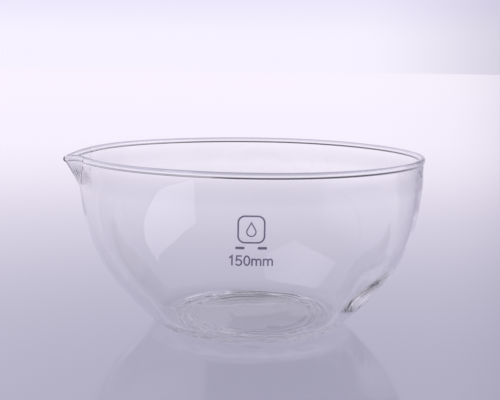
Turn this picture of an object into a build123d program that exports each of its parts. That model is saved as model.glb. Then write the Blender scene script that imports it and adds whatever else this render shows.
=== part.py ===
from build123d import *
import os
from math import acos, atan, cos, degrees, radians, sin, sqrt, tan

# Evaporating dish with pouring spout, nominal size 150 mm. Millimetres, +Z up.
# The origin is on the dish's axis, on the surface that it stands on. The spout points along -X.

# ---- the dish ----
RIM_RADIUS = 75.0  # outside of the rim
HEIGHT = 75.0  # foot to rim
WALL = 2.3
BASE = 3.2  # glass at the edge of the cavity's floor
EDGE_ROUND = 0.9  # fire-polished rim, nearly half a circle
INNER_HEEL_RADIUS = 13.0  # cavity's floor into its wall
PUNT_RADIUS = 31.0  # hollow under the base, inside the ring that the dish stands on
PUNT_DEPTH = 0.7
ABOVE_RIM = 4.0  # how far blanks run past the rim before it is cut to height

# The outside is a chain of tangent arcs, from the foot up. A heading is the wall's angle above
# the floor, so 0 runs along the floor and 90 is upright.
HEEL_RADIUS = 10.7
HEEL_HEADING = 42.6  # heading where the heel ends
FLANK_RADIUS = 163.0
FLANK_HEADING = 50.0
BELLY_RADIUS = 67.4
BELLY_HEADING = 82.1
RIM_HEADING = 88.7

# ---- the spout ----
SPOUT_REACH = 82.0  # axis to the tip's edge, before the edge is rounded
SPOUT_DROOP = 2.2  # tip below the rim
DROOP_START = 70.0  # distance from the axis where the lip starts to fall
SPOUT_LEAN = 33.0  # underside of the spout from upright, in degrees
SPOUT_ROOT = 55.0  # height where its blank starts, inside the wall
SPOUT_INNER_END = 60.0  # blank's end inside the dish, from the axis
NOSE_AT_ROOT = 2.4  # half width and nose radius, outside
NOSE_AT_RIM = 3.7
SPOUT_WALL = 2.2
FLARE_OUTSIDE = 5.0  # blend of the spout's sides into the wall
FLARE_INSIDE = 7.0

# ---- the enamel print ----
PRINT_AZIMUTH = -5.7  # centre line of the print, from -Y towards -X
ENAMEL = 0.12
STROKE = 0.6  # width of the pen line
THIN_STROKE = 0.45
FRAME_LEVEL = 54.1  # height of the frame's middle
FRAME_WIDTH = 10.2
FRAME_HEIGHT = 10.6
FRAME_CORNER = 2.8
DROP_RADIUS = 1.9
DROP_TIP = 3.9  # tip above the middle of the drop's round end
DROP_LOW = 0.9  # round end's middle below the frame's middle
DASH_LEVEL = 47.0
DASH_OFFSET = 4.1  # each side of the centre line
DASH_LENGTH = 3.4
DASH_HEIGHT = 1.0
DASH_CORNER = 0.35
BASELINE = 40.2  # feet of the figures
ONE_MIDDLE = -6.95  # the figures' places, from the centre line
FIVE_MIDDLE = -4.45
ZERO_MIDDLE = -1.5
FIRST_M_MIDDLE = 2.0
SECOND_M_MIDDLE = 6.25
# The figures' sizes and points are those of the pen line's middle, from the figure's own foot.
FIGURE_HEIGHT = 3.65
ZERO_WIDTH = 2.0
LETTER_HEIGHT = 2.45
ARCH_WIDTH = 1.6  # an m has two
ONE_FLAG = (-0.85, 2.9)
ONE_TOP = (0, FIGURE_HEIGHT)
FIVE_BAR_END = (0.85, FIGURE_HEIGHT)
FIVE_CORNER = (-0.75, FIGURE_HEIGHT)
FIVE_NECK = (-0.9, 1.9)
FIVE_BOWL = (1.0, 1.0)
FIVE_TAIL = (-1.0, 0.35)


def rise(radius, start, end):
    """Height gained along an arc between two headings."""
    return radius * (cos(radians(start)) - cos(radians(end)))


def run(radius, start, end):
    """Distance gained from the axis along an arc between two headings."""
    return radius * (sin(radians(end)) - sin(radians(start)))


LOWER_RISE = (
    rise(HEEL_RADIUS, 0, HEEL_HEADING)
    + rise(FLANK_RADIUS, HEEL_HEADING, FLANK_HEADING)
    + rise(BELLY_RADIUS, FLANK_HEADING, BELLY_HEADING)
)
UPPER_RADIUS = (HEIGHT - LOWER_RISE) / rise(1, BELLY_HEADING, RIM_HEADING)
FOOT_RADIUS = RIM_RADIUS - (
    run(HEEL_RADIUS, 0, HEEL_HEADING)
    + run(FLANK_RADIUS, HEEL_HEADING, FLANK_HEADING)
    + run(BELLY_RADIUS, FLANK_HEADING, BELLY_HEADING)
    + run(UPPER_RADIUS, BELLY_HEADING, RIM_HEADING)
)


def turned(floor_level, floor_radius, arcs):
    """Solid of revolution whose wall is a chain of tangent arcs, run on straight past the rim."""
    edges = [Line((0, floor_level), (floor_radius, floor_level))]
    for radius, turn in arcs:
        edges.append(JernArc(edges[-1] @ 1, edges[-1] % 1, radius, turn))
    top = edges[-1] @ 1 + (edges[-1] % 1) * ABOVE_RIM
    edges.append(Line(edges[-1] @ 1, top))
    edges.append(Line(top, (0, top.Y)))
    edges.append(Line((0, top.Y), (0, floor_level)))
    return revolve(Plane.XZ * make_face(edges), Axis.Z)


def outside_blank(skin=0.0):
    """Outer form of the dish, grown by a skin."""
    arcs = (
        (HEEL_RADIUS + skin, HEEL_HEADING),
        (FLANK_RADIUS + skin, FLANK_HEADING - HEEL_HEADING),
        (BELLY_RADIUS + skin, BELLY_HEADING - FLANK_HEADING),
        (UPPER_RADIUS + skin, RIM_HEADING - BELLY_HEADING),
    )
    return turned(-skin, FOOT_RADIUS, arcs)


def cavity_blank():
    """Form of the hollow: the outer arcs moved in by the wall, with a rounder heel on a thicker base."""
    heel_end_radius = FOOT_RADIUS + run(HEEL_RADIUS, 0, HEEL_HEADING)
    flank_centre_radius = heel_end_radius - FLANK_RADIUS * sin(radians(HEEL_HEADING))
    flank_centre_level = rise(HEEL_RADIUS, 0, HEEL_HEADING) + FLANK_RADIUS * cos(radians(HEEL_HEADING))
    flank_radius = FLANK_RADIUS - WALL
    between = flank_radius - INNER_HEEL_RADIUS
    heading = acos((flank_centre_level - BASE - INNER_HEEL_RADIUS) / between)
    floor_radius = flank_centre_radius + between * sin(heading)
    arcs = (
        (INNER_HEEL_RADIUS, degrees(heading)),
        (flank_radius, FLANK_HEADING - degrees(heading)),
        (BELLY_RADIUS - WALL, BELLY_HEADING - FLANK_HEADING),
        (UPPER_RADIUS - WALL, RIM_HEADING - BELLY_HEADING),
    )
    return turned(BASE, floor_radius, arcs)


def tongue(level, nose, wall):
    """Level section of the spout, moved in by a wall: two straight sides and a round nose."""
    lean = radians(SPOUT_LEAN)
    reach = SPOUT_REACH - (HEIGHT - SPOUT_DROOP - level) * tan(lean) - wall / cos(lean)
    half = nose - wall
    side = Line((-SPOUT_INNER_END, half), (half - reach, half))
    end = ThreePointArc(side @ 1, (-reach, 0), (half - reach, -half))
    back = Line(end @ 1, (-SPOUT_INNER_END, -half))
    close = Line(back @ 1, side @ 0)
    return Plane.XY.offset(level) * make_face([side, end, back, close])


def spout_blank(wall=0.0):
    """Form of the spout, leaning outwards and widening evenly from its root to past the rim."""
    top = HEIGHT + ABOVE_RIM
    widening = (NOSE_AT_RIM - NOSE_AT_ROOT) / (HEIGHT - SPOUT_ROOT)
    nose_at_top = NOSE_AT_ROOT + widening * (top - SPOUT_ROOT)
    levels = [tongue(SPOUT_ROOT, NOSE_AT_ROOT, wall), tongue(top, nose_at_top, wall)]
    return loft(levels, ruled=True)


def flared(body, spout, radius):
    """A turned blank joined to its spout, with the spout's sides blended into the wall."""
    corners = new_edges(body, spout, combined=body + spout)
    return fillet(corners.filter_by(Plane.XY, reverse=True), radius)


def above_lip():
    """Everything over the rim, which is level and then falls in an arc to the spout's tip."""
    fall = SPOUT_REACH - DROOP_START
    radius = (fall**2 + SPOUT_DROOP**2) / (2 * SPOUT_DROOP)
    turn = degrees(2 * atan(SPOUT_DROOP / fall))
    far = 2 * RIM_RADIUS
    level = Line((far, HEIGHT), (-DROOP_START, HEIGHT))
    lip = JernArc(level @ 1, level % 1, radius, turn)
    beyond = Line(lip @ 1, lip @ 1 + (lip % 1) * ABOVE_RIM)
    outer = Line(beyond @ 1, (-far, far))
    roof = Line((-far, far), (far, far))
    end = Line((far, far), (far, HEIGHT))
    return extrude(Plane.XZ * make_face([level, lip, beyond, outer, roof, end]), far, both=True)


def punt():
    """Ball whose cap hollows the underside, so that the dish stands on a ring."""
    radius = (PUNT_RADIUS**2 + PUNT_DEPTH**2) / (2 * PUNT_DEPTH)
    return Pos(0, 0, PUNT_DEPTH - radius) * Sphere(radius)


def glass_dish():
    """The whole glass: wall, base, rim and spout are one piece."""
    outside = flared(outside_blank(), spout_blank(), FLARE_OUTSIDE)
    hollow = flared(cavity_blank(), spout_blank(SPOUT_WALL), FLARE_INSIDE)
    glass = outside - hollow - above_lip() - punt()
    level_and_falling_lip = glass.faces().sort_by(Axis.Z)[-2:]
    return fillet(level_and_falling_lip.edges().filter_by(GeomType.LINE, reverse=True), EDGE_ROUND)


def pen(*lines):
    """Stroke of a round-tipped pen along the lines."""
    stroke = trace(lines, STROKE)
    for line in lines:
        for end in (line @ 0, line @ 1):
            stroke += Pos(end.X, end.Y) * Circle(STROKE / 2)
    return stroke


def drop(radius, tip):
    """Filled drop: a circle with the two tangents from its tip."""
    touch_level = radius**2 / tip
    touch_half = sqrt(radius**2 - touch_level**2)
    cap = Polygon((-touch_half, touch_level), (touch_half, touch_level), (0, tip), align=None)
    return Circle(radius) + cap


def mark_frame():
    inner_width = FRAME_WIDTH - 2 * STROKE
    inner_height = FRAME_HEIGHT - 2 * STROKE
    outer = RectangleRounded(FRAME_WIDTH, FRAME_HEIGHT, FRAME_CORNER)
    return outer - RectangleRounded(inner_width, inner_height, FRAME_CORNER - STROKE)


def mark_drop():
    inner_radius = DROP_RADIUS - THIN_STROKE
    return drop(DROP_RADIUS, DROP_TIP) - drop(inner_radius, DROP_TIP * inner_radius / DROP_RADIUS)


def mark_dash():
    return RectangleRounded(DASH_LENGTH, DASH_HEIGHT, DASH_CORNER)


def figure_one():
    return pen(Line(ONE_FLAG, ONE_TOP), Line(ONE_TOP, (0, 0)))


def figure_five():
    bowl = ThreePointArc(FIVE_NECK, FIVE_BOWL, FIVE_TAIL)
    return pen(Line(FIVE_BAR_END, FIVE_CORNER), Line(FIVE_CORNER, FIVE_NECK), bowl)


def figure_zero():
    half_width = ZERO_WIDTH / 2
    half_height = FIGURE_HEIGHT / 2
    half_pen = STROKE / 2
    outer = Ellipse(half_width + half_pen, half_height + half_pen)
    return Pos(0, half_height) * (outer - Ellipse(half_width - half_pen, half_height - half_pen))


def letter_m():
    half = ARCH_WIDTH / 2
    shoulder = LETTER_HEIGHT - half
    lines = [Line((-ARCH_WIDTH, LETTER_HEIGHT), (-ARCH_WIDTH, 0))]
    for middle in (-half, half):
        foot = (middle + half, 0)
        arch = ThreePointArc((middle - half, shoulder), (middle, LETTER_HEIGHT), (middle + half, shoulder))
        lines += [arch, Line(arch @ 1, foot)]
    return pen(*lines)


def printed(shape, across, level, skin):
    """Enamel in the shape of a flat figure, as seen from outside, lying on the wall."""
    punch = extrude(Plane.XZ * (Pos(across, level) * shape), RIM_RADIUS + WALL)
    return skin & (Rot(0, 0, PRINT_AZIMUTH) * punch)


def enamel_nodes():
    """The print's separate islands of enamel, by name."""
    skin = outside_blank(ENAMEL) - outside_blank()
    prints = {
        "mark_frame": (mark_frame(), 0, FRAME_LEVEL),
        "mark_drop": (mark_drop(), 0, FRAME_LEVEL - DROP_LOW),
        "mark_dash_left": (mark_dash(), -DASH_OFFSET, DASH_LEVEL),
        "mark_dash_right": (mark_dash(), DASH_OFFSET, DASH_LEVEL),
        "figure_one": (figure_one(), ONE_MIDDLE, BASELINE),
        "figure_five": (figure_five(), FIVE_MIDDLE, BASELINE),
        "figure_zero": (figure_zero(), ZERO_MIDDLE, BASELINE),
        "unit_m_first": (letter_m(), FIRST_M_MIDDLE, BASELINE),
        "unit_m_second": (letter_m(), SECOND_M_MIDDLE, BASELINE),
    }
    return {name: printed(*place, skin) for name, place in prints.items()}


os.makedirs("parts", exist_ok=True)
export_step(glass_dish(), "parts/glass_dish.step")
for name, enamel in enamel_nodes().items():
    export_step(enamel, f"parts/{name}.step")
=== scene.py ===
import bpy
import numpy as np
from math import atan2, cos, degrees, pi, radians, sin, sqrt
from mathutils import Matrix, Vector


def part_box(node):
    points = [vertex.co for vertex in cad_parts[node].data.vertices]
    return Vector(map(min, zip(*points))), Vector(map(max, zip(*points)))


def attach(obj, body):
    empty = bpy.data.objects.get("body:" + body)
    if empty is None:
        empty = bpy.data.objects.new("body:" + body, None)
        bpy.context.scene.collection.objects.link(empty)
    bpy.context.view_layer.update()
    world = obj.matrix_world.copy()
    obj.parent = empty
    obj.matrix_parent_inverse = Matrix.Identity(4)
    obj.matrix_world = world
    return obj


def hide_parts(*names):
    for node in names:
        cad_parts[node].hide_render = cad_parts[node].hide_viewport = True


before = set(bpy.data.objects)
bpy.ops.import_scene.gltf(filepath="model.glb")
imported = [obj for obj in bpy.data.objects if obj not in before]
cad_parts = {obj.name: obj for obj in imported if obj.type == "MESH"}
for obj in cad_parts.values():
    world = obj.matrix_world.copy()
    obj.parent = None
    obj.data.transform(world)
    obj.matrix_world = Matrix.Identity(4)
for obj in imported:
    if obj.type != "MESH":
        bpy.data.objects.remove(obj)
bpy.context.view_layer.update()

MM = 0.001

# ---------------------------------------------------------------------------------------------
# The dish, in millimetres. The wall has the sizes of the CAD model: a chain of tangent arcs from
# the foot up, headings in degrees above the floor. The functions work it out with the spout
# towards +X, and glass_points mirrors it at the end, so the finished spout points along -X.
# ---------------------------------------------------------------------------------------------
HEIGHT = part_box("glass_dish")[1].z / MM
RIM_RADIUS = 75.0
WALL = 2.3
BASE = 3.2
HEEL_RADIUS = 10.7
HEEL_HEADING = 42.6
FLANK_RADIUS = 163.0
FLANK_HEADING = 50.0
BELLY_RADIUS = 67.4
BELLY_HEADING = 82.1
RIM_HEADING = 88.7
INNER_HEEL_RADIUS = 13.0
PUNT_RADIUS = 31.0  # of the rim of the shallow hollow under the foot
PUNT_DEPTH = 0.7

SPOUT_REACH = 81.5  # the outside of the tip, from the axis
SPOUT_DROOP = 2.6  # how far the lip falls by then
DROOP_START = 70.0  # where it begins to fall, from the axis
SPOUT_ROOT = 61.0  # height at which the straight line of the spout's ridge would leave the wall
SPOUT_BEND = 4.5  # how far below and above the root the ridge bends out of the wall
SPOUT_SLOPE = 0.60  # how far out the ridge runs for each millimetre up
NOSE_RADIUS = 3.0
HOLLOW_RADIUS = 60.0  # of the shallow hollow on each side, between wall and nose
SPOUT_LOW = 52.0  # nothing of the spout is left below this height

BEAD_RADIUS = 1.3  # the fire-polished bead along the rim
NECK_RADIUS = 0.4  # the fillet between the wall and the bead
BEAD_ZONE = 3.0  # height left for the bead and its neck
BEAD_INSET = 0.18  # how far the bead and the glass below it lie inside the wall's middle line
RIM_WALL = 1.5  # thickness just below the bead
OUTER_THINNING = (62, 72)  # heights between which the wall thins to RIM_WALL, on its outside
INNER_THINNING = (45, 72)  # and on its inside

# ---- the grid of the surface: columns by azimuth from the spout, rings by height ----
RAY_SOURCE = 64.0  # the columns at the spout fan out from a point this far from the axis
RAY_FAN = (12, 60)  # azimuths, in degrees, between which that point moves back to the axis
HALVINGS = 48  # steps in which the wall is found along a ray
TRIALS = 24001  # rays on which the length of the lip is measured
TRIAL_EVEN = 0.04  # the trial azimuths are spread by a straight part and a cubic one,
TRIAL_CROWDED = 0.96  # which crowds them in at the spout
AXIS_GAP = 0.4  # the first and the last ring lie this far from the axis
FOOT_MARGIN = 1.5  # the two rings on the foot's flat lie this far from its edges
PLAIN_FLOOR = 21.0  # within this distance of the axis the floor needs few rings

# ---- the marks that hot working leaves. Places are (azimuth, width) in degrees, counted on the
# finished dish from +X towards +Y; they fade to nothing over their width on both sides ----
FLOOR_RING = (26.5, 36.0)  # distances from the axis between which the floor is wrinkled
FLOOR_DRIFT = ((1.3, 1, 0.5), (0.8, 2, 1.1))  # depth, turns and start of the ring's wandering
FLOOR_FRONT = (225, 65)
FLOOR_BACK = (85, 60)
FINE_DEPTH = 0.27  # of the fine wrinkles, where their strength is one
FINE_STRENGTH = (0.35, 0.65, 0.55)  # everywhere, and what is added at the front and at the back
COMBED_DEPTH = 0.34  # of the combed wrinkles, which lie at the front only
COMBED_SLANT = 9.0  # how far out the combed wrinkles run for each radian round
WRINKLE_TOP = 20.0  # the floor's wrinkles stay below this height
HEEL_LEFT = (225, 75)
HEEL_RIGHT = (310, 60)
HEEL_BAND = (0.9, 5.0)  # heights between which the heel is wrinkled
HEEL_EVERYWHERE = 0.15  # strength of its wrinkles away from those two places
HEEL_SHORT_DEPTH = 0.065
HEEL_LONG_DEPTH = 0.085
THICK_DEPTH = 2.2  # how much thicker the glass is where it ran together
THICK_AT = (-12, 45)
THICK_BAND = (13, 24)  # heights of that place
WAVE_DEPTH = 0.02  # slow waves over the inside of the wall
WAVE_BAND = (12, 66)
RIM_DIP = 0.10  # the rim lies this much below the full height on average
RIM_UNEVENNESS = 0.6
RIM_LEAST_DIP = 0.02
RIM_DIP_START = 55.0  # nothing is lowered below this height


def rise(radius, start, end):
    """Height gained along an arc between two headings."""
    return radius * (cos(radians(start)) - cos(radians(end)))


def run(radius, start, end):
    """Distance from the axis gained along an arc between two headings."""
    return radius * (sin(radians(end)) - sin(radians(start)))


LOWER_RISE = (
    rise(HEEL_RADIUS, 0, HEEL_HEADING)
    + rise(FLANK_RADIUS, HEEL_HEADING, FLANK_HEADING)
    + rise(BELLY_RADIUS, FLANK_HEADING, BELLY_HEADING)
)
UPPER_RADIUS = (HEIGHT - LOWER_RISE) / rise(1, BELLY_HEADING, RIM_HEADING)
FOOT_RADIUS = RIM_RADIUS - (
    run(HEEL_RADIUS, 0, HEEL_HEADING)
    + run(FLANK_RADIUS, HEEL_HEADING, FLANK_HEADING)
    + run(BELLY_RADIUS, FLANK_HEADING, BELLY_HEADING)
    + run(UPPER_RADIUS, BELLY_HEADING, RIM_HEADING)
)


def arc_centres():
    """Centres (distance from the axis, height) of the heel, flank, belly and upper arcs."""
    centres = [(FOOT_RADIUS, HEEL_RADIUS)]
    headings = (HEEL_HEADING, FLANK_HEADING, BELLY_HEADING)
    radii = (HEEL_RADIUS, FLANK_RADIUS, BELLY_RADIUS, UPPER_RADIUS)
    for heading, radius, following in zip(headings, radii, radii[1:]):
        x, z = centres[-1]
        step = radius - following
        centres.append((x + step * sin(radians(heading)), z - step * cos(radians(heading))))
    return centres


HEEL_CENTRE, FLANK_CENTRE, BELLY_CENTRE, UPPER_CENTRE = arc_centres()


def on_arc(centre, radius, headings):
    """Points (distance from the axis, height) of an arc at headings in degrees."""
    h = np.radians(headings)
    return np.stack([centre[0] + radius * np.sin(h), centre[1] - radius * np.cos(h)], -1)


def wall_radius(height, inset):
    """Distance of the wall from the axis at heights in its belly or upper arc, moved in by inset."""
    upper = UPPER_CENTRE[0] + np.sqrt((UPPER_RADIUS - inset) ** 2 - (UPPER_CENTRE[1] - height) ** 2)
    reach = np.clip((BELLY_RADIUS - inset) ** 2 - (BELLY_CENTRE[1] - height) ** 2, 0, None)
    belly = BELLY_CENTRE[0] + np.sqrt(reach)
    joint = BELLY_CENTRE[1] - (BELLY_RADIUS - inset) * cos(radians(BELLY_HEADING))
    return np.where(height > joint, upper, belly)


def smoothstep(low, high, value):
    """Zero up to low, one from high, and a smooth rise between."""
    t = np.clip((value - low) / (high - low), 0, 1)
    return t * t * (3 - 2 * t)


# ---- the spout, worked out on the middle of the glass ----
def soft_ramp(value, width):
    """Zero below -width, value above width, and a smooth bend between."""
    bend = np.clip(value + width, 0, None) ** 2 / (4 * width)
    return np.where(value > width, value, bend)


def section_holds(across, side, height):
    """Whether points lie inside the glass's middle line at a height. across runs towards the spout."""
    side = np.abs(side)
    wall = wall_radius(height, WALL / 2)
    proud = SPOUT_SLOPE * soft_ramp(height - SPOUT_ROOT, SPOUT_BEND)
    nose = wall + proud - NOSE_RADIUS
    hollow = wall + HOLLOW_RADIUS
    hollow_across = (hollow**2 - (NOSE_RADIUS + HOLLOW_RADIUS) ** 2 + nose**2) / (2 * nose)
    hollow_side = np.sqrt(np.clip(hollow**2 - hollow_across**2, 0, None))
    in_wall = np.hypot(across, side) < wall
    in_nose = np.hypot(across - nose, side) < NOSE_RADIUS
    below_wall_line = side * hollow_across < across * hollow_side
    below_nose_line = side * (hollow_across - nose) < (across - nose) * hollow_side
    web = below_wall_line & ~below_nose_line & (side >= 0) & (across > 0)
    clear = np.hypot(across - hollow_across, side - hollow_side) > HOLLOW_RADIUS
    return in_wall | in_nose | (web & clear)


def section_point(azimuth, height):
    """Where the glass's middle line at a height is met by the ray of an azimuth from the spout."""
    fan_start, fan_end = RAY_FAN
    source = RAY_SOURCE * (1 - smoothstep(radians(fan_start), radians(fan_end), np.abs(azimuth)))
    target = RIM_RADIUS - WALL / 2
    away = np.stack([target * np.cos(azimuth) - source, target * np.sin(azimuth)], -1)
    away = unit(away)
    low = np.zeros(np.broadcast(azimuth, height).shape)
    high = low + 2 * RIM_RADIUS
    for _ in range(HALVINGS):
        middle = (low + high) / 2
        inside = section_holds(source + middle * away[..., 0], middle * away[..., 1], height)
        low = np.where(inside, middle, low)
        high = np.where(inside, high, middle)
    return source + low * away[..., 0], low * away[..., 1]


def lip_height(across):
    """Height of the lip, level and then falling in an arc towards the spout's tip."""
    fall = SPOUT_REACH - DROOP_START
    radius = (fall**2 + SPOUT_DROOP**2) / (2 * SPOUT_DROOP)
    beyond = np.clip(across - DROOP_START, 0, fall)
    return HEIGHT - (radius - np.sqrt(radius**2 - beyond**2))


def column_azimuths(fine=0.4, coarse=1.45, near=14.0):
    """Azimuths from the spout, spaced evenly along the lip but closer together near the spout."""
    trial = np.linspace(-1, 1, TRIALS)
    trial = pi * (TRIAL_EVEN * trial + TRIAL_CROWDED * trial**3)
    x, y = section_point(trial, np.full(trial.shape, HEIGHT - BEAD_ZONE))
    step = np.hypot(np.diff(x), np.diff(y))
    from_spout = np.hypot((x[1:] + x[:-1]) / 2 - RIM_RADIUS, (y[1:] + y[:-1]) / 2)
    spacing = fine + (coarse - fine) * smoothstep(near, 3 * near, from_spout)
    travelled = np.concatenate([[0], np.cumsum(step / spacing)])
    count = 2 * round(travelled[-1] / 2)
    return np.interp(np.arange(count) * travelled[-1] / count, travelled, trial)


def unit(vectors):
    """Vectors of length one with the same directions."""
    return vectors / np.linalg.norm(vectors, axis=-1, keepdims=True)


def grid_normals(points):
    """Unit normals of a grid of points that closes on itself along its first axis."""
    along = np.roll(points, -1, 0) - np.roll(points, 1, 0)
    up = np.gradient(points, axis=1)
    return unit(np.cross(along, up))


def upper_wall(azimuths, levels=22):
    """Middle of the glass from SPOUT_LOW up to the bead: points in columns by azimuth."""
    azimuth = azimuths[:, None]
    part = np.linspace(0, 1, levels)[None, :]
    top = np.full((len(azimuths), 1), HEIGHT - BEAD_ZONE)
    for _ in range(4):  # how high a column ends depends on how far out it ends, so both close in
        height = SPOUT_LOW + (top - SPOUT_LOW) * part
        x, y = section_point(azimuth, height)
        points = np.stack([x, y, height], -1)
        slope = unit(points[:, -1] - points[:, -2])
        tip = points[:, -1, 0] + slope[:, 0] * BEAD_ZONE
        top = (lip_height(tip) - BEAD_ZONE * slope[:, 2])[:, None]
    return points


def bead_profile():
    """Outer half of the rim's section: [(distance below the top, distance from the middle line)]."""
    arm = BEAD_RADIUS + NECK_RADIUS
    neck_out = RIM_WALL / 2 + NECK_RADIUS
    neck_down = BEAD_RADIUS + sqrt(arm**2 - neck_out**2)
    meet = atan2(neck_down - BEAD_RADIUS, neck_out)
    turns = np.linspace(pi, pi + meet, 5)
    neck = np.stack([neck_down + NECK_RADIUS * np.sin(turns), neck_out + NECK_RADIUS * np.cos(turns)], -1)
    turns = np.linspace(meet, -pi / 2, 11)[1:]
    bead = np.stack([BEAD_RADIUS + BEAD_RADIUS * np.sin(turns), BEAD_RADIUS * np.cos(turns)], -1)
    return np.concatenate([neck, bead])


def revolved(profile, directions):
    """Rings of a profile [(distance from the axis, height)] along horizontal unit directions."""
    flat = directions[:, None, :] * profile[None, :, :1]
    return np.concatenate([flat, np.broadcast_to(profile[None, :, 1:], flat.shape[:2] + (1,))], -1)


def outer_offset(height):
    """From the middle line to the outer face: it steps in below the bead, which stands proud."""
    return WALL / 2 + (RIM_WALL / 2 - BEAD_INSET - WALL / 2) * smoothstep(*OUTER_THINNING, height)


def inner_offset(height):
    """From the middle line to the inner face."""
    return WALL / 2 + (RIM_WALL / 2 + BEAD_INSET - WALL / 2) * smoothstep(*INNER_THINNING, height)


def waves(around, across, seed, count, turns, lengths):
    """Sum of sine waves, about 0.7 in root mean square.

    turns: most waves round the bowl; lengths: range across, in mm.
    """
    random = np.random.RandomState(seed)
    total = 0
    for _ in range(count):
        number = random.randint(-turns, turns + 1)
        length = random.uniform(*lengths)
        start = random.uniform(0, 2 * pi)
        total = total + np.cos(number * around + 2 * pi * across / length + start)
    return total / sqrt(count)


def band(value, low, high, soft):
    """One well within low and high, zero well outside them, and one half at each."""
    return smoothstep(low - soft, low + soft, value) * (1 - smoothstep(high - soft, high + soft, value))


def towards(around, place):
    """One at a place (azimuth, width) of the finished dish, fading to zero over the width."""
    azimuth, width = place
    mirrored = pi - around
    apart = np.abs((mirrored - radians(azimuth) + pi) % (2 * pi) - pi)
    return 1 - smoothstep(0, radians(width), apart)


def floor_wrinkles(points):
    """Raise and lower the inner surface near the foot in long fine wrinkles that run round it."""
    around = np.arctan2(points[..., 1], points[..., 0])
    distance = np.hypot(points[..., 0], points[..., 1])
    drift = distance
    for depth, turns, start in FLOOR_DRIFT:
        drift = drift + depth * np.sin(turns * around + start)
    ring = band(drift, *FLOOR_RING, soft=2.5)
    front = towards(around, FLOOR_FRONT)
    back = towards(around, FLOOR_BACK)
    fine = waves(around, drift, seed=11, count=7, turns=2, lengths=(3.0, 6.5))
    slanted = distance + COMBED_SLANT * around
    combed = waves(around, slanted, seed=12, count=5, turns=3, lengths=(2.4, 4.5))
    everywhere, more_front, more_back = FINE_STRENGTH
    strength = everywhere + more_front * front + more_back * back
    below = points[..., 2] < WRINKLE_TOP
    return below * ring * (FINE_DEPTH * strength * fine + COMBED_DEPTH * front * combed)


def heel_wrinkles(points):
    """Short wrinkles on the outside of the heel, strongest where the bowl leaves the foot."""
    around = np.arctan2(points[..., 1], points[..., 0])
    distance = np.hypot(points[..., 0], points[..., 1])
    height = points[..., 2]
    short = waves(around, height, seed=21, count=10, turns=60, lengths=(1.2, 4.0))
    longer = waves(around, height, seed=22, count=6, turns=24, lengths=(3.0, 9.0))
    strength = HEEL_EVERYWHERE + (towards(around, HEEL_LEFT) + towards(around, HEEL_RIGHT))
    outside_foot = smoothstep(FOOT_RADIUS - 2, FOOT_RADIUS + 1, distance)
    where = outside_foot * band(height, *HEEL_BAND, soft=0.8)
    return where * strength * (HEEL_SHORT_DEPTH * short + HEEL_LONG_DEPTH * longer)


def thick_place(points):
    """The glass lies thicker low on the right of the wall, where it ran while it was soft."""
    around = np.arctan2(points[..., 1], points[..., 0])
    return THICK_DEPTH * towards(around, THICK_AT) * band(points[..., 2], *THICK_BAND, soft=6)


def wall_waves(points):
    """Slow waves over the inside of the wall, so that reflections don't run true."""
    around = np.arctan2(points[..., 1], points[..., 0])
    height = points[..., 2]
    slow = waves(around, height, seed=31, count=8, turns=6, lengths=(25, 60))
    return WAVE_DEPTH * (slow * band(height, *WAVE_BAND, soft=6))


def rim_dip(points):
    """How much lower than the full height the heat has left each place near the rim."""
    around = np.arctan2(points[..., 1], points[..., 0])
    uneven = waves(around, 0, seed=41, count=5, turns=4, lengths=(1, 2))
    dip = RIM_DIP * (1.0 + RIM_UNEVENNESS * uneven)
    return np.clip(dip, RIM_LEAST_DIP, None) * smoothstep(RIM_DIP_START, HEIGHT, points[..., 2])


def displaced(points, amount):
    """Move the points of a grid outwards along its normals."""
    return points + grid_normals(points) * amount[..., None]


def rim(middle, normal):
    """Points of the bead in the columns of the wall below it, from outside over the top to inside."""
    top = middle[:, -1]
    up = unit(top - middle[:, -2])
    out = unit(normal[:, -1] - up * np.sum(normal[:, -1] * up, -1, keepdims=True))
    profile = bead_profile()
    outer = [(down, reach) for down, reach in profile]
    inner = [(down, -reach) for down, reach in profile[-2::-1]]
    return np.stack([
        top + up * (BEAD_ZONE - down) + out * (reach - BEAD_INSET)
        for down, reach in outer + inner
    ], 1)


def lower_outside(directions, belly_end):
    """Underside, foot and the outside of the heel, flank and belly up to a heading."""
    punt_sphere = (PUNT_RADIUS**2 + PUNT_DEPTH**2) / (2 * PUNT_DEPTH)
    under = np.linspace(AXIS_GAP, PUNT_RADIUS, 10)
    punt = np.stack([under, np.sqrt(punt_sphere**2 - under**2) - punt_sphere + PUNT_DEPTH], -1)
    foot = np.array([[PUNT_RADIUS + FOOT_MARGIN, 0.0], [FOOT_RADIUS - FOOT_MARGIN, 0.0]])
    return revolved(np.concatenate([
        punt,
        foot,
        on_arc(HEEL_CENTRE, HEEL_RADIUS, np.linspace(0, HEEL_HEADING, 20)),
        on_arc(FLANK_CENTRE, FLANK_RADIUS, np.linspace(HEEL_HEADING, FLANK_HEADING, 18)[1:]),
        on_arc(BELLY_CENTRE, BELLY_RADIUS, np.linspace(FLANK_HEADING, belly_end, 17)[1:-1]),
    ]), directions)


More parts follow.
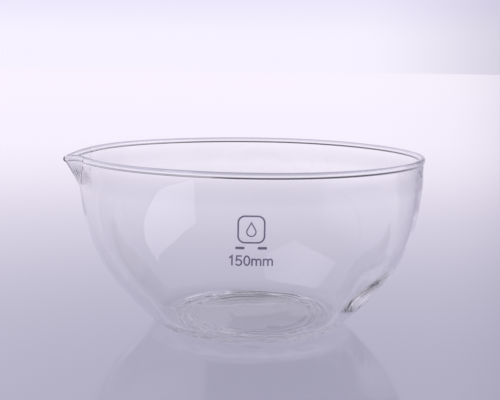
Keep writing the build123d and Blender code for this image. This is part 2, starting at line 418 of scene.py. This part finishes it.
def lower_inside(directions, belly_end):
    """Floor and the inside of the heel, flank and belly up to a heading."""
    between = FLANK_RADIUS - WALL - INNER_HEEL_RADIUS
    heading = degrees(np.arccos((FLANK_CENTRE[1] - BASE - INNER_HEEL_RADIUS) / between))
    floor_radius = FLANK_CENTRE[0] + between * sin(radians(heading))
    inner_heel = (floor_radius, BASE + INNER_HEEL_RADIUS)
    plain = np.linspace(AXIS_GAP, PLAIN_FLOOR, 8)[:-1]
    wrinkled = np.linspace(PLAIN_FLOOR, floor_radius, 42)
    level = np.concatenate([plain, wrinkled])
    return revolved(np.concatenate([
        np.stack([level, np.full(level.shape, BASE)], -1),
        on_arc(inner_heel, INNER_HEEL_RADIUS, np.linspace(0, heading, 27)[1:]),
        on_arc(FLANK_CENTRE, FLANK_RADIUS - WALL, np.linspace(heading, FLANK_HEADING, 8)[1:]),
        on_arc(BELLY_CENTRE, BELLY_RADIUS - WALL, np.linspace(FLANK_HEADING, belly_end, 17)[1:-1]),
    ]), directions)


def glass_points():
    """Grid of the whole surface, from the middle of the underside out, up, over the rim and down inside."""
    middle = upper_wall(column_azimuths())
    normal = grid_normals(middle)
    outer_top = middle + normal * outer_offset(middle[..., 2:])
    inner_top = middle - normal * inner_offset(middle[..., 2:])
    directions = unit(middle[:, 0, :2])
    belly_end = degrees(np.arccos((BELLY_CENTRE[1] - SPOUT_LOW) / (BELLY_RADIUS - WALL / 2)))
    outside = lower_outside(directions, belly_end)
    outside = displaced(outside, heel_wrinkles(outside))
    inside = np.concatenate([lower_inside(directions, belly_end), inner_top], 1)
    lift = floor_wrinkles(inside) + wall_waves(inside) + thick_place(inside)
    inside = displaced(inside, -lift)
    points = np.concatenate([outside, outer_top, rim(middle, normal), inside[:, ::-1]], 1)
    points[..., 0] *= -1
    points[..., 2] -= rim_dip(points)
    return points


def mesh_from_grid(name, points):
    """Closed mesh of a grid that closes along its first axis, with a point on the axis at each end."""
    columns, rows = points.shape[:2]
    ends = [points[:, row].mean(0) for row in (0, -1)]
    vertices = np.concatenate([points.reshape(-1, 3), ends]) * MM
    index = np.arange(columns * rows).reshape(columns, rows)
    nxt = np.roll(index, -1, 0)
    quads = np.stack([index[:, :-1], index[:, 1:], nxt[:, 1:], nxt[:, :-1]], -1).reshape(-1, 4)
    first, last = columns * rows, columns * rows + 1
    faces = quads.tolist()
    faces += [(first, a, b) for a, b in zip(index[:, 0].tolist(), nxt[:, 0].tolist())]
    faces += [(last, b, a) for a, b in zip(index[:, -1].tolist(), nxt[:, -1].tolist())]
    mesh = bpy.data.meshes.new(name)
    mesh.from_pydata(vertices.tolist(), [], faces)
    mesh.validate()
    mesh.update()
    mesh.shade_smooth()
    return mesh


def add(name, mesh, material):
    """Object of a mesh with one material, in the scene."""
    piece = bpy.data.objects.new(name, mesh)
    bpy.context.scene.collection.objects.link(piece)
    mesh.materials.append(material)
    return piece


# ---------------------------------------------------------------------------------------------
# Materials. Bump distances are in metres.
# ---------------------------------------------------------------------------------------------
ENAMEL_DARK = (0.24, 0.20, 0.29, 1)
ENAMEL_LIGHT = (0.31, 0.27, 0.36, 1)
ENAMEL_SPECK = (0.52, 0.48, 0.58, 1)


def new_material(name):
    """Material with its node tree and its Principled shader."""
    material = bpy.data.materials.new(name)
    material.use_nodes = True
    shader = material.node_tree.nodes["Principled BSDF"]
    return material, material.node_tree, shader


def math_node(tree, operation, first, second=None, clamp=False):
    """Output of a math node; first and second are numbers or sockets."""
    node = tree.nodes.new("ShaderNodeMath")
    node.operation = operation
    node.use_clamp = clamp
    for socket, value in zip(node.inputs, (first, second)):
        if value is None:
            continue
        if isinstance(value, (int, float)):
            socket.default_value = value
        else:
            tree.links.new(value, socket)
    return node.outputs[0]


def mix_colours(tree, factor, first, second):
    """Colour between first and second by a factor; both are colours or sockets."""
    node = tree.nodes.new("ShaderNodeMix")
    node.data_type = "RGBA"
    tree.links.new(factor, node.inputs[0])
    for socket, value in ((node.inputs[6], first), (node.inputs[7], second)):
        if isinstance(value, tuple):
            socket.default_value = value
        else:
            tree.links.new(value, socket)
    return node.outputs[2]


def noise(tree, place, scale, detail, roughness=0.5):
    """Value of a noise texture."""
    node = tree.nodes.new("ShaderNodeTexNoise")
    node.inputs["Scale"].default_value = scale
    node.inputs["Detail"].default_value = detail
    node.inputs["Roughness"].default_value = roughness
    tree.links.new(place, node.inputs["Vector"])
    return node.outputs["Fac"]


def spread(tree, value, low, high, start, end):
    """Stretch a value between low and high to run smoothly from start to end."""
    node = tree.nodes.new("ShaderNodeMapRange")
    node.interpolation_type = "SMOOTHSTEP"
    for name, number in (("From Min", low), ("From Max", high), ("To Min", start), ("To Max", end)):
        node.inputs[name].default_value = number
    tree.links.new(value, node.inputs["Value"])
    return node.outputs[0]


def bump(tree, shader, height, distance):
    """Relief of a height, with its full depth in metres."""
    node = tree.nodes.new("ShaderNodeBump")
    node.inputs["Strength"].default_value = 1.0
    node.inputs["Distance"].default_value = distance
    tree.links.new(height, node.inputs["Height"])
    tree.links.new(node.outputs[0], shader.inputs["Normal"])


def glass_material():
    """Clear glass with a faint orange-peel surface and a few drying marks that dull it slightly."""
    material, tree, shader = new_material("clear_borosilicate_glass")
    shader.inputs["Base Color"].default_value = (1, 1, 1, 1)
    shader.inputs["Transmission Weight"].default_value = 1.0
    shader.inputs["IOR"].default_value = 1.47
    place = tree.nodes.new("ShaderNodeTexCoord").outputs["Object"]
    film = noise(tree, place, scale=45, detail=3)
    dulled = spread(tree, film, low=0.50, high=0.75, start=0.0, end=0.035)
    tree.links.new(dulled, shader.inputs["Roughness"])
    bump(tree, shader, noise(tree, place, scale=60, detail=1), distance=0.00010)
    return material


def enamel_material():
    """Screen-printed enamel: slightly uneven in colour and gloss, with fine grain."""
    material, tree, shader = new_material("grey_violet_enamel")
    place = tree.nodes.new("ShaderNodeTexCoord").outputs["Object"]
    grain = noise(tree, place, scale=900, detail=4, roughness=0.6)
    thickness = noise(tree, place, scale=130, detail=2)
    mottling = spread(tree, thickness, low=0.3, high=0.7, start=0, end=1)
    body = mix_colours(tree, mottling, ENAMEL_DARK, ENAMEL_LIGHT)
    specks = spread(tree, grain, low=0.55, high=0.80, start=0, end=0.5)
    tree.links.new(mix_colours(tree, specks, body, ENAMEL_SPECK), shader.inputs["Base Color"])
    dulled = spread(tree, grain, low=0.3, high=0.7, start=0.38, end=0.62)
    tree.links.new(dulled, shader.inputs["Roughness"])
    bump(tree, shader, grain, distance=0.00003)
    return material


# ---------------------------------------------------------------------------------------------
# The object
# ---------------------------------------------------------------------------------------------
def bowl():
    """The glass, one closed mesh that stands for the CAD's dish."""
    glass = add("glass_bowl", mesh_from_grid("glass_bowl", glass_points()), glass_material())
    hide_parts("glass_dish")
    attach(glass, "root")


def printed_marks():
    """The CAD's own pieces of enamel, in their material."""
    enamel = enamel_material()
    for name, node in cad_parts.items():
        if name != "glass_dish":
            node.data.materials.clear()
            node.data.materials.append(enamel)


# ---------------------------------------------------------------------------------------------
# Studio: floor, surroundings, lights, camera. Sizes and places are in metres.
# ---------------------------------------------------------------------------------------------
FLOOR_RADIUS = 8.0
FLOOR_DROP = 0.0002  # keeps the floor clear of the foot
FLOOR_GLOSS_ROUGHNESS = 0.07
FLOOR_IOR = 1.35
MOST_GLOSS = 0.35  # the floor mirrors no more than this, however flat it is looked at
# painted light: the floor's glow before the dish (near) and far off (far), standing in for light falling on
# it
NEAR_PAINTED_LIGHT = (0.415, 0.400, 0.530, 1)
FAR_PAINTED_LIGHT = (1.075, 1.00, 1.12, 1)
POOL_CENTRE_Y = -0.10  # the middle of the dim pool of painted shade on the floor
POOL_STRETCH = 0.35  # the floor brightens this much more slowly towards the camera
POOL_SIZE = 0.48
POOL_POWER = 1.8
SHADE_COLOUR = (0.30, 0.28, 0.40, 1)  # right of the picture the studio falls off into shade: painted shade in the floor's glow, and the sky's colour there
SHADE_FROM = (-0.042, -0.398)  # a fixed place, below the camera: the shade's edge fans out from it
SHADE_SLANT = (0.32, 0.54)  # how far right it lies at its start and end, for each metre back
SHADE_MOST = 0.65  # how much of the shade colour the floor takes there

SKY_COLOUR = (0.925, 0.885, 1.0, 1)
SKY_STOPS = [  # (height of the direction, colour)
    (0.00, SKY_COLOUR),
    (0.02, SKY_COLOUR),
    (0.065, (0.84, 0.80, 0.965, 1)),
    (0.30, (0.78, 0.75, 0.90, 1)),
    (0.65, (0.32, 0.31, 0.37, 1)),
    (1.00, (0.26, 0.25, 0.30, 1)),
]
SKY_SHADE = (0.20, 0.50)  # directions' X between which the sky falls off into shade
SKY_SHADE_MOST = 0.70
CAMERA_SIDE_COLOUR = (0.35, 0.32, 0.40, 1)  # the dimmer room behind the camera
ROOM_FRONT = 0.9  # how strongly a direction towards the camera's side takes that colour
ROOM_RISE = 6.0  # how quickly it does so above the horizon

PANEL_COLOUR = (0.92, 0.88, 1.0, 1)
PANEL_MIDDLE = 1.15  # a panel's glow in its middle, as a part of its stated brightness
PANEL_CORNER = 0.70  # and at its farthest corner
LIGHT_RIGHT = [(1.05, 0.12, 0.02), (1.05, 0.85, 0.90), (1.05, -0.95, 1.18), (1.05, -1.30, 0.10)]
LIGHT_LEFT = [(-0.15, -0.24, 1.0), (-0.62, -0.32, 1.0), (-0.94, 0.62, 1.0), (-0.50, 0.62, 1.0)]
FLAG_WIDE = [(-2.0, 2.9, 0.40), (2.4, 2.4, 0.40), (2.4, 2.4, 1.9), (-2.0, 2.9, 1.9)]
FLAG_RIGHT = [(0.10, 2.5, 0.80), (1.95, 1.6, 0.30), (1.95, 1.6, 2.6), (0.10, 2.5, 2.6)]

CAMERA_DISTANCE = 0.400  # from the dish's axis
CAMERA_HEIGHT = 0.1155
CAMERA_AZIMUTH = -6.0  # degrees from -Y, counted towards +X
CAMERA_YAW = 0.05  # degrees, turned left of the dish's axis
CAMERA_PITCH = 8.80  # degrees down
CAMERA_ROLL = 0.84
CAMERA_LENS = 66.07  # focal length, in millimetres on a 36 mm sensor
LIGHT_BOUNCES = 128  # enough for light that is led along inside the wall


def floor_painted_light(tree):
    """Painted light of the floor by place: a dim pool of painted shade before the dish, brighter far off,
    painted shade to the right.
    """
    place = tree.nodes.new("ShaderNodeNewGeometry").outputs["Position"]
    split = tree.nodes.new("ShaderNodeSeparateXYZ")
    tree.links.new(place, split.inputs[0])
    away = math_node(tree, "SUBTRACT", split.outputs["Y"], POOL_CENTRE_Y)
    behind = math_node(tree, "MAXIMUM", away, 0.0)
    before = math_node(tree, "MULTIPLY", math_node(tree, "MINIMUM", away, 0.0), POOL_STRETCH)
    length = math_node(tree, "ADD", behind, before)
    squares = [math_node(tree, "MULTIPLY", side, side) for side in (split.outputs["X"], length)]
    distance = math_node(tree, "SQRT", math_node(tree, "ADD", *squares))
    scaled = math_node(tree, "DIVIDE", distance, POOL_SIZE)
    power = math_node(tree, "POWER", scaled, POOL_POWER)
    fade = math_node(tree, "EXPONENT", math_node(tree, "MULTIPLY", power, -1.0))
    far = math_node(tree, "SUBTRACT", 1.0, fade)
    lit = mix_colours(tree, far, NEAR_PAINTED_LIGHT, FAR_PAINTED_LIGHT)
    # painted shade: the floor darkens to the right of a line fanning out from SHADE_FROM
    across = math_node(tree, "SUBTRACT", split.outputs["X"], SHADE_FROM[0])
    back = math_node(tree, "SUBTRACT", split.outputs["Y"], SHADE_FROM[1])
    slant = math_node(tree, "DIVIDE", across, math_node(tree, "MAXIMUM", back, 0.001))
    return mix_colours(tree, spread(tree, slant, *SHADE_SLANT, 0, SHADE_MOST), lit, SHADE_COLOUR)


def floor_material():
    """A floor whose soft glow is painted light, taking no shadows, and which mirrors a little, more where
    it is looked at flat.
    """
    material, tree, shader = new_material("studio_floor")
    tree.nodes.remove(shader)
    emission = tree.nodes.new("ShaderNodeEmission")
    tree.links.new(floor_painted_light(tree), emission.inputs["Color"])
    gloss = tree.nodes.new("ShaderNodeBsdfGlossy")
    gloss.inputs["Roughness"].default_value = FLOOR_GLOSS_ROUGHNESS
    fresnel = tree.nodes.new("ShaderNodeFresnel")
    fresnel.inputs["IOR"].default_value = FLOOR_IOR
    mix = tree.nodes.new("ShaderNodeMixShader")
    tree.links.new(math_node(tree, "MINIMUM", fresnel.outputs[0], MOST_GLOSS), mix.inputs[0])
    tree.links.new(emission.outputs[0], mix.inputs[1])
    tree.links.new(gloss.outputs[0], mix.inputs[2])
    tree.links.new(mix.outputs[0], tree.nodes["Material Output"].inputs["Surface"])
    return material


def floor():
    """The studio's floor, a wide disc just under the dish."""
    place = (0, 0, -FLOOR_DROP)
    bpy.ops.mesh.primitive_circle_add(vertices=128, radius=FLOOR_RADIUS, fill_type="NGON", location=place)
    disc = bpy.context.object
    disc.name = "studio_floor"
    disc.data.materials.append(floor_material())


def ramp(tree, value, stops):
    """Colour by value: stops are (position, colour)."""
    node = tree.nodes.new("ShaderNodeValToRGB")
    node.color_ramp.interpolation = "EASE"
    while len(node.color_ramp.elements) < len(stops):
        node.color_ramp.elements.new(0.5)
    for element, (position, colour) in zip(node.color_ramp.elements, stops):
        element.position = position
        element.color = colour
    tree.links.new(value, node.inputs[0])
    return node.outputs[0]


def surroundings():
    """The world: a pale sky by height, shade to the right and a dimmer room on the camera's side."""
    world = bpy.data.worlds.new("studio")
    bpy.context.scene.world = world
    world.use_nodes = True
    tree = world.node_tree
    place = tree.nodes.new("ShaderNodeTexCoord").outputs["Generated"]
    split = tree.nodes.new("ShaderNodeSeparateXYZ")
    tree.links.new(place, split.inputs[0])
    sky = ramp(tree, split.outputs["Z"], SKY_STOPS)
    side = spread(tree, split.outputs["X"], *SKY_SHADE, 0, SKY_SHADE_MOST)
    dimmed = mix_colours(tree, side, sky, SHADE_COLOUR)
    before = math_node(tree, "MULTIPLY", split.outputs["Y"], -ROOM_FRONT, clamp=True)
    above = math_node(tree, "MULTIPLY", split.outputs["Z"], ROOM_RISE, clamp=True)
    camera_side = math_node(tree, "MULTIPLY", before, above)
    room = mix_colours(tree, camera_side, dimmed, CAMERA_SIDE_COLOUR)
    tree.links.new(room, tree.nodes["Background"].inputs["Color"])
    tree.nodes["Background"].inputs["Strength"].default_value = 1.0


def panel_material(name, corners, brightness):
    """A glow that fades a little from the panel's middle to its corners."""
    material, tree, shader = new_material(name)
    tree.nodes.remove(shader)
    emission = tree.nodes.new("ShaderNodeEmission")
    emission.inputs["Color"].default_value = PANEL_COLOUR
    middle = [sum(corner[axis] for corner in corners) / len(corners) for axis in range(3)]
    reach = max(sqrt(sum((a - b) ** 2 for a, b in zip(corner, middle))) for corner in corners)
    apart = tree.nodes.new("ShaderNodeVectorMath")
    apart.operation = "DISTANCE"
    apart.inputs[1].default_value = middle
    tree.links.new(tree.nodes.new("ShaderNodeNewGeometry").outputs["Position"], apart.inputs[0])
    brightest = PANEL_MIDDLE * brightness
    dimmest = PANEL_CORNER * brightness
    fading = spread(tree, apart.outputs["Value"], 0.1 * reach, reach, brightest, dimmest)
    tree.links.new(fading, emission.inputs["Strength"])
    tree.links.new(emission.outputs[0], tree.nodes["Material Output"].inputs["Surface"])
    return material


def panel(name, corners, brightness, through_glass=False):
    """Flat sheet that glows, seen in the glass and the floor but not by the camera itself."""
    mesh = bpy.data.meshes.new(name)
    mesh.from_pydata(corners, [], [tuple(range(len(corners)))])
    piece = add(name, mesh, panel_material(name, corners, brightness))
    piece.visible_camera = False
    piece.visible_shadow = False
    piece.visible_transmission = through_glass
    return piece


def lights():
    """Two sheets; mirrored in the inside of the far wall they make its bright patches."""
    panel("light_right", LIGHT_RIGHT, brightness=2.3)
    panel("light_left", LIGHT_LEFT, brightness=1.8)


def flags():
    """Two dim sheets behind the dish, seen through it; they give its edges their dark lines."""
    wide = panel("flag_wide", FLAG_WIDE, brightness=0.42, through_glass=True)
    right = panel("flag_right", FLAG_RIGHT, brightness=0.06, through_glass=True)
    wide.visible_glossy = False
    right.visible_glossy = False


def camera():
    """Camera at the distance, height and slant that give the dish the outline it should have."""
    data = bpy.data.cameras.new("camera")
    data.lens = CAMERA_LENS
    data.sensor_width = 36
    data.clip_start = 0.01
    data.clip_end = 100
    eye = bpy.data.objects.new("camera", data)
    bpy.context.scene.collection.objects.link(eye)
    azimuth = radians(CAMERA_AZIMUTH)
    eye.location = (CAMERA_DISTANCE * sin(azimuth), -CAMERA_DISTANCE * cos(azimuth), CAMERA_HEIGHT)
    eye.rotation_mode = "QUATERNION"
    turn = Matrix.Rotation(radians(CAMERA_AZIMUTH + CAMERA_YAW), 3, "Z")
    tilt = Matrix.Rotation(pi / 2 - radians(CAMERA_PITCH), 3, "X")
    roll = Matrix.Rotation(radians(CAMERA_ROLL), 3, "Z")
    eye.rotation_quaternion = (turn @ tilt @ roll).to_quaternion()
    bpy.context.scene.camera = eye


def rendering():
    """Plain colours, and light bounces enough for glass."""
    bpy.context.scene.view_settings.view_transform = "Standard"
    cycles = bpy.context.scene.cycles
    cycles.max_bounces = LIGHT_BOUNCES
    cycles.transmission_bounces = LIGHT_BOUNCES
    cycles.glossy_bounces = LIGHT_BOUNCES


bowl()
printed_marks()
floor()
surroundings()
lights()
flags()
camera()
rendering()
